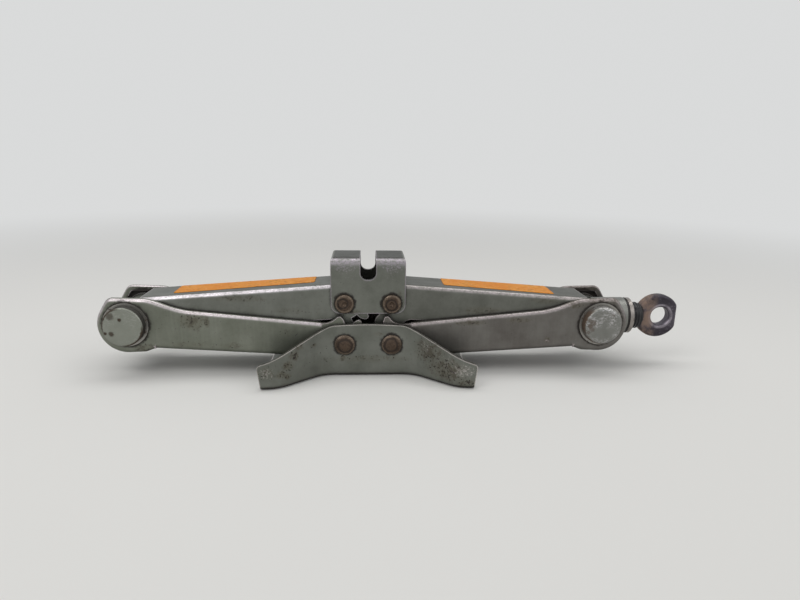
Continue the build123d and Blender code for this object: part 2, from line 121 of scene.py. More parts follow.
def dress(node, material):  # a CAD node keeps its shape and takes the material
    slots = nodes[node].data.materials
    slots.clear()
    slots.append(material)


def placeObject(name, data):
    thing = bpy.data.objects.new(name, data)
    bpy.context.scene.collection.objects.link(thing)
    return thing


def finishObject(name, mesh, body, material):  # a finished mesh becomes a piece that rides a body
    piece = placeObject(name, mesh)
    mesh.materials.clear()
    mesh.materials.append(material)
    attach(piece, body)
    return piece


# camera, as the photo was taken
cameraView = {
    "place": (-1.6, -466.3, 176.2),  # mm
    "yaw": 3.33,  # degrees towards +X
    "pitch": 14.69,  # degrees down
    "roll": 0.85,  # degrees
    "focal": 602.0, "frame": 800,  # pixels, the focal length and the picture's width
    "sensor": 36.0,  # mm
    "clip": (0.01, 60.0),  # m
}


def setCamera(view):
    yaw, pitch, roll = (math.radians(view[k]) for k in ("yaw", "pitch", "roll"))
    ahead = Vector((math.sin(yaw) * math.cos(pitch), math.cos(yaw) * math.cos(pitch), -math.sin(pitch)))
    side = Vector((math.cos(yaw), -math.sin(yaw), 0))
    top = side.cross(ahead)
    sideRolled = math.cos(roll) * side + math.sin(roll) * top
    topRolled = math.cos(roll) * top - math.sin(roll) * side
    data = bpy.data.cameras.new("photoCamera")
    data.sensor_width = view["sensor"]
    data.lens = view["sensor"] * view["focal"] / view["frame"]
    data.clip_start, data.clip_end = view["clip"]
    camera = placeObject("photoCamera", data)
    turn = Matrix((sideRolled, topRolled, -ahead)).transposed().to_4x4()
    camera.matrix_world = Matrix.Translation(Vector(view["place"]) * mm) @ turn
    bpy.context.scene.camera = camera


setCamera(cameraView)
bpy.context.scene.view_settings.view_transform = "Standard"
print("camera set")

# floor and soft light
studio = {
    "floorSize": 14.0,  # m
    "floorColour": "#E2E1DE", "floorRough": 0.85, "floorSheen": 0.15,
    "mottle": (180, 0.985),  # mm, the size of the floor's faint patches, and the darkest of them
    "floorFade": (0.3, 1.3),  # m from the middle, where the floor turns into the backdrop
    "roomColour": "#E4E5E5",
    "roomLight": 0.54,  # what lights the object
    "roomSeen": 0.9,  # what the camera and the metal see
    "lamps": {  # place and aim in m, size in m, power in W
        "topStrip": {"place": (0.0, 0.15, 1.0), "aim": (0, 0, 0.05), "size": (1.7, 0.42), "power": 4.3},
        "keySoft": {"place": (-0.75, -0.75, 1.15), "aim": (0, 0, 0.04), "size": (0.8, 0.8), "power": 5.2},
        "fillSoft": {"place": (0.95, -0.55, 0.75), "aim": (0.05, 0, 0.04), "size": (0.9, 0.9), "power": 2.3},
    },
}


def makeFloor(look):
    half = look["floorSize"] / 2
    mesh = bpy.data.meshes.new("floor")
    mesh.from_pydata([(-half, -half, 0), (half, -half, 0), (half, half, 0), (-half, half, 0)], [], [(0, 1, 2, 3)])
    floor = placeObject("floor", mesh)
    material, add, shader, place = startMaterial("paintedStudioFloor")  # matt paint, hardly any sheen
    size, darkest = look["mottle"]
    mottle = add("TexNoise", {"Vector": place, "Scale": 1 / size, "Detail": 3.0})
    tone = add("MapRange", {"Value": mottle, "To Min": darkest, "To Max": 1.0})
    colour = add("VectorMath", {0: linear(look["floorColour"])[:3], "Scale": tone}, operation="SCALE")
    away = add("VectorMath", {0: place}, out="Value", operation="LENGTH")
    near, far = look["floorFade"]
    fade = add("MapRange", {"Value": away, "From Min": near / mm, "From Max": far / mm}, **smooth)
    room = add("Emission", {"Color": linear(look["roomColour"]), "Strength": look["roomSeen"]})
    faded = add("MixShader", {0: fade, 1: shader.outputs[0], 2: room})
    tree = material.node_tree
    tree.links.new(colour, shader.inputs["Base Color"])
    tree.links.new(faded, tree.nodes["Material Output"].inputs["Surface"])
    shader.inputs["Roughness"].default_value = look["floorRough"]
    shader.inputs["Specular IOR Level"].default_value = look["floorSheen"]
    mesh.materials.append(material)


def makeRoom(look):
    world = bpy.data.worlds.new("paleRoom")
    bpy.context.scene.world = world
    world.use_nodes = True
    add = partial(addNode, world.node_tree)
    rays = add("LightPath").node.outputs
    seen = add("Math", {0: rays["Is Camera Ray"], 1: rays["Is Glossy Ray"]}, operation="MAXIMUM")
    seen = add("Math", {0: seen, 1: rays["Is Transmission Ray"]}, operation="MAXIMUM")
    strength = add("MapRange", {"Value": seen, "To Min": look["roomLight"], "To Max": look["roomSeen"]})
    background = world.node_tree.nodes["Background"]
    background.inputs["Color"].default_value = linear(look["roomColour"])
    world.node_tree.links.new(strength, background.inputs["Strength"])


def hangLamps(look):
    for name, lamp in look["lamps"].items():
        data = bpy.data.lights.new(name, "AREA")
        data.shape = "RECTANGLE"
        data.size, data.size_y = lamp["size"]
        data.energy = lamp["power"]
        rig = placeObject(name, data)
        rig.location = lamp["place"]
        aim = Vector(lamp["aim"]) - Vector(lamp["place"])
        rig.rotation_euler = aim.to_track_quat("-Z", "Y").to_euler()


makeFloor(studio)
makeRoom(studio)
hangLamps(studio)
print("studio set")

# pressed sheet: base, saddle and the four arms
# worn: colour of the edge wear, the rubs and the painted highlight on the upper bends, whose strength the bend
# value sets; inside: oily dirt and painted shade inside the channels; topDull: how much darker what faces up is
sheetLooks = {  # stains, rubs: x, z, half width, half height (mm), strength; halos: what they go round, radius (mm)
    "base_bracket": {
        "shift": (0, 0, 0), "pale": "#7F817B", "dull": "#676962", "worn": "#CFC9C6", "rust": 0.6, "pits": 0.95,
        "drawn": 0.03, "bend": 0.0, "chafe": 0.0, "edge": 1.0, "topDull": 0.25, "inside": 0.5,
        "rubs": [(70, 14, 15, 9, 0.9), (-74, 13, 10, 8, 0.8), (57, 20, 17, 13, 0.65), (44, 27, 8, 11, 0.75)],
        "halos": [("base_pin_left", 7.7), ("base_pin_right", 7.7)],
        "stains": [(-51, 29, 4, 4, 0.9), (-54.5, 23, 4, 5, 1.0), (-58.5, 17, 4.5, 5, 1.0), (-63, 11, 4.5, 4, 0.95),
                   (-59, 8.5, 3, 3, 0.9), (-41, 27, 3, 2, 0.9), (46, 24, 13, 12, 0.9), (58, 13, 17, 11, 0.95),
                   (72, 5, 11, 5, 0.8), (-74, 13, 8, 7, 0.6), (-19.5, 15.5, 3.5, 4, 1.0), (20, 16, 3, 3, 0.6),
                   (8, 34, 6, 2, 0.6), (0, 14, 46, 4, 0.5)],
    },
    "saddle_bracket": {
        "shift": (37, 5, 11), "pale": "#7E8079", "dull": "#666861", "worn": "#ABA1AC", "rust": 0.5, "pits": 0.6,
        "drawn": 0.03, "bend": 0.75, "chafe": 1.0, "edge": 0.7, "topDull": 0.6, "inside": 0.65,
        "rubs": [(-17, 85, 16, 9, 0.85), (18, 85, 16, 9, 0.85), (-14, 77, 13, 6, 0.6), (17, 78, 13, 6, 0.6)],
        "halos": [("saddle_pin_left", 7.3), ("saddle_pin_right", 7.3)],
        "stains": [(-12, 50, 7, 3, 0.9), (24, 60, 3, 12, 0.5), (14, 50, 5, 3, 0.7)],
    },
    "lower_left_arm": {
        "shift": (71, 3, 29), "pale": "#85887E", "dull": "#6D7065", "worn": "#D2C7CC", "rust": 0.5, "pits": 0.7,
        "drawn": 0.11, "bend": 0.85, "chafe": 0.5, "edge": 0.9, "topDull": 0.0, "inside": 0.1,
        "rubs": [], "halos": [("head_washer_front_left", 16.7)],
        "stains": [(-132, 44, 13, 9, 0.9), (-122, 43, 3, 6, 0.9), (-135, 25, 19, 3.5, 0.5), (-104, 24, 16, 3, 0.45),
                   (-62, 33, 9, 6, 0.4), (-168, 22, 12, 5, 0.7)],
    },
    "lower_right_arm": {
        "shift": (113, 7, 53), "pale": "#797773", "dull": "#635F5B", "worn": "#C2B7B8", "rust": 0.55, "pits": 0.6,
        "drawn": 0.08, "bend": 0.7, "chafe": 0.7, "edge": 0.9, "topDull": 0.0, "inside": 0.1,
        "rubs": [(118, 31, 4, 2, 0.5), (140, 27, 3, 3, 0.9), (184, 61, 14, 3, 0.95)],
        "halos": [("head_washer_front_right", 16.7)],
        "stains": [(79, 42, 16, 3, 0.8), (117, 44, 12, 3, 0.8), (140, 28, 3, 3, 0.8), (160, 57, 12, 5, 0.8),
                   (181, 60, 17, 4, 1.0)],
    },
    "upper_left_arm": {
        "shift": (17, 13, 83), "pale": "#81837D", "dull": "#686A63", "worn": "#DAD2D8", "rust": 0.45, "pits": 0.5,
        "drawn": 0.05, "bend": 0.9, "chafe": 0.65, "edge": 0.7, "topDull": 0.22, "inside": 0.5,
        "rubs": [(-130, 56, 30, 5, 0.5)], "halos": [],
        "stains": [(-100, 60, 30, 4, 0.6), (-60, 50, 20, 4, 0.4)],
    },
    "upper_right_arm": {
        "shift": (59, 19, 97), "pale": "#767771", "dull": "#5E5F59", "worn": "#BDB3B4", "rust": 0.5, "pits": 0.55,
        "drawn": 0.05, "bend": 0.7, "chafe": 0.8, "edge": 0.7, "topDull": 0.22, "inside": 0.5,
        "rubs": [(140, 56, 18, 5, 0.5)], "halos": [],
        "stains": [(90, 50, 22, 5, 0.6), (140, 58, 18, 4, 0.6)],
    },
}
zincFinish = {  # what the six sheets share
    "clouds": (30.0, 6.0, 0.66), "blotch": (4.5, 7.0, 0.7), "pit": (1.7, 3.0, 0.5),  # size in mm, detail, roughness
    "chafe": (1.5, 5.0, 0.75), "scrape": (1.3, 5.0, 0.75), "grain": (0.9, 3.0, 0.5), "draw": (1.7, 4.0, 0.5),
    "rolled": (0.07, 1, 1), "pulled": (1, 1, 0.06),  # the grain runs along X, the press marks up the sides
    "stainCut": (0.2, 0.67), "stainSoft": (-0.08, 0.12),  # cut: how far it falls in a patch, and its level outside
    "pitCut": (0.165, 0.72), "pitSoft": (-0.02, 0.05),
    "scrapeCut": (0.4, 0.86), "scrapeSoft": (-0.07, 0.1), "scraped": 0.5,
    "edge": 1.4, "crevice": 5.0,  # mm, how far from an edge it is bright, and how far into a corner the painted shade reaches
    # oil and grime colours: oily dirt with painted shade inside the channels, and painted shade in corners with
    # dirt and painted shadow round rivets
    "film": "#666152", "stain": "#474036", "pitted": "#2B2420", "oilAndShade": "#2A2724", "grimeAndShade": "#241D19",
    "rough": (0.47, 0.37),  # in dull and in pale clouds
    "roughened": (0.28, -0.1, 0.05),  # by dirt, wear and grain
    "dirtMetal": 0.25,
    "bump": (0.35, 0.12),  # strength, and depth in mm
}


def pressedZinc(name, look, finish):  # zinc-plated mild steel sheet: dull silver film, clouded, bare and with a painted highlight on the upper bends, painted shade and grime in corners, oily dirt and painted shade inside the channels
    material, add, shader, place = startMaterial(name)
    shifted = add("Mapping", {"Vector": place, "Location": look["shift"]})
    rolled = add("Mapping", {"Vector": shifted, "Scale": finish["rolled"]})
    pulled = add("Mapping", {"Vector": shifted, "Scale": finish["pulled"]})
    patterns = {"clouds": shifted, "blotch": shifted, "pit": shifted, "chafe": shifted, "scrape": shifted,
                "grain": rolled, "draw": pulled}
    for pattern, coords in patterns.items():
        size, detail, rough = finish[pattern]
        patterns[pattern] = add("TexNoise", {"Vector": coords, "Scale": 1 / size, "Detail": detail,
                                             "Roughness": rough})
    clouds, blotch, pit, chafe, scrape, grain, draw = patterns.values()
    cloudMask = add("MapRange", {"Value": clouds, "From Min": 0.3, "From Max": 0.7})
    areas = {"stains": 0.0, "rubs": 0.0}
    for kind in areas:  # where the photo shows stained and rubbed patches
        for x, z, wide, high, strength in look[kind]:
            reach = reachFrom(add, place, x, z, wide, high)
            inside = add("MapRange", {"Value": reach, "From Min": 1.3, "From Max": 0.2, "To Max": strength},
                         **smooth)
            areas[kind] = add("Math", {0: areas[kind], 1: inside}, operation="MAXIMUM")
    stain = breakThrough(add, blotch, areas["stains"], finish["stainCut"], finish["stainSoft"], look["rust"])
    pits = breakThrough(add, pit, areas["stains"], finish["pitCut"], finish["pitSoft"], look["pits"])
    scrape = breakThrough(add, scrape, areas["rubs"], finish["scrapeCut"], finish["scrapeSoft"], finish["scraped"])
    facing = add("NewGeometry", out="Normal")
    own = add("VectorTransform", {"Vector": facing}, vector_type="NORMAL", convert_from="WORLD",
              convert_to="OBJECT")  # the same at every pose
    own = add("SeparateXYZ", {"Vector": own}).node.outputs
    across, upward = own["Y"], own["Z"]
    square = add("Math", {0: across, 1: across}, operation="MULTIPLY")
    bend = add("Math", {0: 1.0, 1: square}, operation="SUBTRACT")
    bend = add("Math", {0: bend, 1: square}, operation="MULTIPLY")  # 0.25 in mid bend
    bend = add("MapRange", {"Value": bend, "From Min": 0.01, "From Max": 0.24}, **smooth)
    upper = add("MapRange", {"Value": upward, "From Min": -0.1, "From Max": 0.35})
    chafed = add("MapRange", {"Value": chafe, "From Min": 0.47, "From Max": 0.6, "To Min": 1.0,
                              "To Max": 1 - 0.75 * look["chafe"]}, **smooth)
    highlightPatches = add("MapRange", {"Value": clouds, "From Min": 0.25, "From Max": 0.55, "To Min": 0.5 * look["bend"],
                              "To Max": look["bend"]})
    patchy = add("MapRange", {"Value": blotch, "From Min": 0.38, "From Max": 0.6,
                              "To Min": 1 - 0.6 * look["chafe"]})
    for share in (upper, highlightPatches, chafed, patchy):  # painted highlight with rubbed wear on the upper bends, in patches
        bend = add("Math", {0: bend, 1: share}, operation="MULTIPLY")
    edge = edgeWear(add, finish["edge"], (0.995, 0.93), look["edge"])
    edgeMask = add("MapRange", {"Value": clouds, "From Min": 0.3, "From Max": 0.5, "To Min": 0.5})
    wearAndHighlight = add("Math", {0: edge, 1: edgeMask}, operation="MULTIPLY")
    wearAndHighlight = add("Math", {0: wearAndHighlight, 1: bend}, operation="MAXIMUM")
    clean = add("Math", {0: stain, 1: -1.3, 2: 1.0}, operation="MULTIPLY_ADD")
    wearAndHighlight = add("Math", {0: wearAndHighlight, 1: clean}, operation="MULTIPLY")  # stains break the bright bends
    wearAndHighlight = add("Math", {0: wearAndHighlight, 1: scrape}, operation="MAXIMUM")
    # painted shade in corners and where parts meet, broken up by blotches
    crevice = add("AmbientOcclusion", {"Distance": finish["crevice"] * mm}, out="AO", samples=8)
    hidden = add("Math", {0: blotch, 1: -0.35, 2: crevice}, operation="MULTIPLY_ADD")
    grimeAndShade = add("MapRange", {"Value": hidden, "From Min": 0.62, "From Max": 0.2, "To Max": 0.9}, **smooth)
    for node, around in look["halos"]:  # black-brown dirt and painted shadow round rivets and washers
        middle = middleOf(node)
        reach = reachFrom(add, place, middle.x, middle.z)
        reach = add("Math", {0: blotch, 1: -6.0, 2: reach}, operation="MULTIPLY_ADD")
        halo = add("MapRange", {"Value": reach, "From Min": around - 0.7, "From Max": around - 2.7, "To Max": 0.9},
                   **smooth)
        grimeAndShade = add("Math", {0: grimeAndShade, 1: halo}, operation="MAXIMUM")
    depth = add("SeparateXYZ", {"Vector": place}).node.outputs["Y"]
    insideDirtAndShade = add("Math", {0: depth}, operation="SIGN")
    insideDirtAndShade = add("Math", {0: insideDirtAndShade, 1: across}, operation="MULTIPLY")
    insideDirtAndShade = add("MapRange", {"Value": insideDirtAndShade, "From Min": -0.4, "From Max": -0.85, "To Max": look["inside"]},
                 **smooth)  # oily dirt and painted shade inside the channels
    tone = add("Mix", {0: cloudMask, 6: linear(look["dull"]), 7: linear(look["pale"])}, **rgba)
    shade = add("Math", {0: draw, 1: 2 * look["drawn"], 2: 1 - look["drawn"]}, operation="MULTIPLY_ADD")
    upFacingDarker = add("MapRange", {"Value": upward, "From Min": 0.8, "From Max": 0.97, "To Min": 1.0,
                             "To Max": 1 - look["topDull"]})  # darker on what faces up
    shade = add("Math", {0: shade, 1: upFacingDarker}, operation="MULTIPLY")
    tone = add("VectorMath", {0: tone, "Scale": shade}, operation="SCALE")
    film = add("Math", {0: areas["stains"], 1: blotch}, operation="MULTIPLY")
    film = add("MapRange", {"Value": film, "From Min": 0.1, "From Max": 0.55, "To Max": 0.55})
    for mask, colour in ((film, finish["film"]), (stain, finish["stain"]), (pits, finish["pitted"]),
                         (wearAndHighlight, look["worn"]), (insideDirtAndShade, finish["oilAndShade"]), (grimeAndShade, finish["grimeAndShade"])):
        tone = add("Mix", {0: mask, 6: tone, 7: linear(colour)}, **rgba)
    # this dirt also holds the painted shade
    dirt = add("Math", {0: stain, 1: pits}, operation="MAXIMUM")
    dirt = add("Math", {0: dirt, 1: grimeAndShade}, operation="MAXIMUM")
    metal = add("MapRange", {"Value": dirt, "To Min": 1.0, "To Max": finish["dirtMetal"]})
    rough = add("MapRange", {"Value": cloudMask, "To Min": finish["rough"][0], "To Max": finish["rough"][1]})
    for mask, change in zip((dirt, wearAndHighlight, grain), finish["roughened"]):
        rough = add("Math", {0: mask, 1: change, 2: rough}, operation="MULTIPLY_ADD")
    height = add("Math", {0: grain, 1: 0.15, 2: clouds}, operation="MULTIPLY_ADD")
    height = add("Math", {0: dirt, 1: -0.7, 2: height}, operation="MULTIPLY_ADD")
    return finishMaterial(material, shader, tone, rough, height, finish["bump"], metal)


for node, look in sheetLooks.items():
    dress(node, pressedZinc("zincPlatedSheet_" + node, look, zincFinish))
print("sheet dressed")

# turned and stamped steel: washers, spacers, bearing, rings on the screw
turnedLooks = {  # grain: size of the rust specks in mm; bump: strength, and depth in mm
    "plainWasherSteel": {  # zinc-plated stampings, dull grey, with dark brown painted shade in the corners
        "nodes": ["head_washer_front_left", "head_washer_front_right", "head_washer_rear_left",
                  "head_washer_rear_right", "spacer_front_left", "spacer_front_right", "spacer_rear_left",
                  "spacer_rear_right"],
        "pale": "#A8A6A1", "dull": "#8A8781", "rust": "#4A382C", "rustCut": 0.58, "metal": 1.0, "rough": 0.38,
        "grain": 2.4, "bump": (0.25, 0.15),
    },
    "bearingRaceSteel": {  # ground washers of the thrust bearing, pale with a film of old oil
        "nodes": ["thrust_race_inner", "thrust_race_outer", "thrust_washer"],
        "pale": "#A29C97", "dull": "#7E7974", "rust": "#4B3B2F", "rustCut": 0.60, "metal": 1.0, "rough": 0.32,
        "grain": 2.0, "bump": (0.2, 0.15),
    },
    "greasedCageSteel": {  # bearing cage and rings under black grease
        "nodes": ["thrust_cage", "thrust_balls", "screw_keeper", "screw_stop"],
        "pale": "#3A3735", "dull": "#1E1C1B", "rust": "#141211", "rustCut": 0.52, "metal": 0.6, "rough": 0.3,
        "grain": 2.2, "bump": (0.3, 0.15),
    },
}
turnedFinish = {"edge": 0.8, "crevice": 3.0, "grimeAndShade": "#1C1714", "dirtMetal": 0.2, "dirtRough": 0.3}


def turnedSteel(name, look, finish):  # turned or stamped steel: clouded, pale edges, rust specks, painted shade in the corners
    material, add, shader, place = startMaterial(name)
    grain, rustCut = look["grain"], look["rustCut"]
    clouds = add("TexNoise", {"Vector": place, "Scale": 1 / (grain * 3), "Detail": 5.0, "Roughness": 0.6})
    speckle = add("TexNoise", {"Vector": place, "Scale": 1 / grain, "Detail": 6.0, "Roughness": 0.7})
    rust = add("MapRange", {"Value": speckle, "From Min": rustCut - 0.04, "From Max": rustCut + 0.08}, **smooth)
    # painted shade in the corners
    crevice = add("AmbientOcclusion", {"Distance": finish["crevice"] * mm}, out="AO", samples=8)
    grimeAndShade = add("MapRange", {"Value": crevice, "From Min": 0.7, "From Max": 0.25, "To Max": 0.9}, **smooth)
    edge = edgeWear(add, finish["edge"], (0.99, 0.9), 0.7)
    tone = linear(look["dull"])
    for mask, colour in ((clouds, look["pale"]), (edge, look["pale"]), (rust, look["rust"]),
                         (grimeAndShade, finish["grimeAndShade"])):
        tone = add("Mix", {0: mask, 6: tone, 7: linear(colour)}, **rgba)
    # this dirt also holds the painted shade
    dirt = add("Math", {0: rust, 1: grimeAndShade}, operation="MAXIMUM")
    metal = add("MapRange", {"Value": dirt, "To Min": look["metal"], "To Max": finish["dirtMetal"]})
    rough = add("MapRange", {"Value": dirt, "To Min": look["rough"], "To Max": look["rough"] + finish["dirtRough"]})
    height = add("Math", {0: speckle, 1: clouds}, operation="ADD")
    return finishMaterial(material, shader, tone, rough, height, look["bump"], metal)


for name, look in turnedLooks.items():
    material = turnedSteel(name, look, turnedFinish)
    for node in look["nodes"]:
        dress(node, material)
print("turned steel dressed")

# rivets: headed ends, brown with rust, a dark ring of tool mark and painted shade, a painted highlight on the rim
rivetLooks = {  # ring: radius and half width of the head's dark ring; offset: the tool mark off the middle; mm
    "base_pin_left": {"shift": 0, "ring": (5.2, 1.3), "rim": 6.4, "offset": (0.4, -0.5)},
    "base_pin_right": {"shift": 31, "ring": (5.0, 1.2), "rim": 6.4, "offset": (-0.5, 0.3)},
    "saddle_pin_left": {"shift": 57, "ring": (3.9, 1.2), "rim": 5.6, "offset": (-1.5, 0.5)},
    "saddle_pin_right": {"shift": 83, "ring": (4.2, 1.1), "rim": 5.6, "offset": (-0.2, -0.9)},
}
rivetFinish = {
    "clouds": 4.5, "fine": 1.1,  # mm
    "wobble": (3.0, 1.5),  # mm, how far the clouds push a ring out, and what brings it back
    # rim: paler rim, a painted highlight; ring: dark ring, tool mark with painted shade
    "dark": "#3C312A", "pale": "#6A5B4F", "rim": "#7C6F62", "ring": "#261E19", "rust": "#33261E",
    "metal": (0.95, 0.45), "rough": (0.36, 0.6),  # clean and dirty
    "bump": (0.5, 0.25),  # strength, and depth in mm
}


def rivetSteel(name, node, look, finish):  # bare headed mild steel: brown oxide, rubbed paler on the crown, a painted highlight on the rim, painted shade in the tool's ring
    material, add, shader, place = startMaterial(name)
    middle = middleOf(node)
    shifted = add("Mapping", {"Vector": place, "Location": (look["shift"], 0, 0)})
    clouds = add("TexNoise", {"Vector": shifted, "Scale": 1 / finish["clouds"], "Detail": 5.0, "Roughness": 0.65})
    fine = add("TexNoise", {"Vector": shifted, "Scale": 1 / finish["fine"], "Detail": 5.0, "Roughness": 0.7})
    push, back = finish["wobble"]
    reaches = []
    for x, z in ((0, 0), look["offset"]):  # from the head's middle and from the tool mark's
        away = reachFrom(add, place, middle.x + x, middle.z + z)
        away = add("Math", {0: clouds, 1: push, 2: away}, operation="MULTIPLY_ADD")
        reaches.append(add("Math", {0: away, 1: back}, operation="SUBTRACT"))
    fromMiddle, fromMark = reaches
    ringMiddle, ringHalf = look["ring"]
    # the dark ring: tool mark with painted shade
    ring = add("Math", {0: fromMark, 1: ringMiddle}, operation="SUBTRACT")
    ring = add("Math", {0: ring}, operation="ABSOLUTE")
    ring = add("MapRange", {"Value": ring, "From Min": ringHalf, "From Max": 0.2 * ringHalf, "To Max": 0.75},
               **smooth)
    # painted highlight on the rim
    rim = add("MapRange", {"Value": fromMiddle, "From Min": look["rim"] - 0.4, "From Max": look["rim"] + 0.3,
                           "To Max": 0.6}, **smooth)
    rust = add("MapRange", {"Value": fine, "From Min": 0.5, "From Max": 0.62, "To Max": 0.7}, **smooth)
    tone = linear(finish["dark"])
    for mask, colour in ((clouds, "pale"), (rim, "rim"), (ring, "ring"), (rust, "rust")):
        tone = add("Mix", {0: mask, 6: tone, 7: linear(finish[colour])}, **rgba)
    # this dirt also holds the painted shade of the ring
    dirt = add("Math", {0: rust, 1: ring}, operation="MAXIMUM")
    metal, rough = (add("MapRange", {"Value": dirt, "To Min": clean, "To Max": dirty})
                    for clean, dirty in (finish["metal"], finish["rough"]))
    height = add("Math", {0: ring, 1: -1.2, 2: fine}, operation="MULTIPLY_ADD")
    return finishMaterial(material, shader, tone, rough, height, finish["bump"], metal)


for node, look in rivetLooks.items():
    dress(node, rivetSteel("headedMildSteel_" + node, node, look, rivetFinish))
print("rivets dressed")

# trunnions: headed ends with their own marks
trunnionLooks = {  # arcs: middle and half width in degrees; marks: x, z and radius in mm from the axis, strength
    "trunnion_nut": {
        "axis": pivots["nut_pivot"], "shift": (0, 0, 0), "pale": "#94978E", "dull": "#80837A", "scuff": 0.12,
        "rust": "#3F3428", "rim": 13.9, "arcs": [(150, 50), (-45, 45)], "wall": 0.85,
        "marks": [(-8.0, 8.6, 3.0, 0.7), (-1.2, 5.8, 1.5, 1.0), (-12.4, -4.6, 1.3, 1.0), (-8.0, -5.0, 2.0, 0.9)],
    },
    "trunnion_block": {
        "axis": pivots["block_pivot"], "shift": (41, 0, 23), "pale": "#8C8C88", "dull": "#71726D", "scuff": 0.85,
        "rust": "#57473A", "rim": 14.2, "arcs": [(165, 40), (-110, 35)], "wall": 0.25,
        "marks": [(-8.6, 3.0, 2.6, 0.6), (-10.4, 0.2, 2.4, 0.7), (-9.0, -2.6, 2.0, 0.5), (-11.4, 4.6, 1.8, 0.5),
                  (-11.6, -4.8, 1.5, 0.5), (6.5, 9.0, 1.4, 0.4)],
    },
}
trunnionFinish = {
    "clouds": 11.0, "fine": 1.8, "scratch": 0.8, "crevice": 3.0,  # mm
    "heads": (24.5, 25.5),  # mm from the middle plane, where the heads begin
    "faint": 0.15,  # rust round the rim outside the arcs
    "scuffHigh": (-3.0, 4.0), "scuffOut": (8.5, 12.5),  # mm above and away from the axis
    "bare": "#D8D5D7", "grimeAndShade": "#1F1814",
    "metal": (1.0, 0.2), "rough": (0.4, 0.75),  # clean and dirty
    "bump": (0.35, 0.15),  # strength, and depth in mm
}


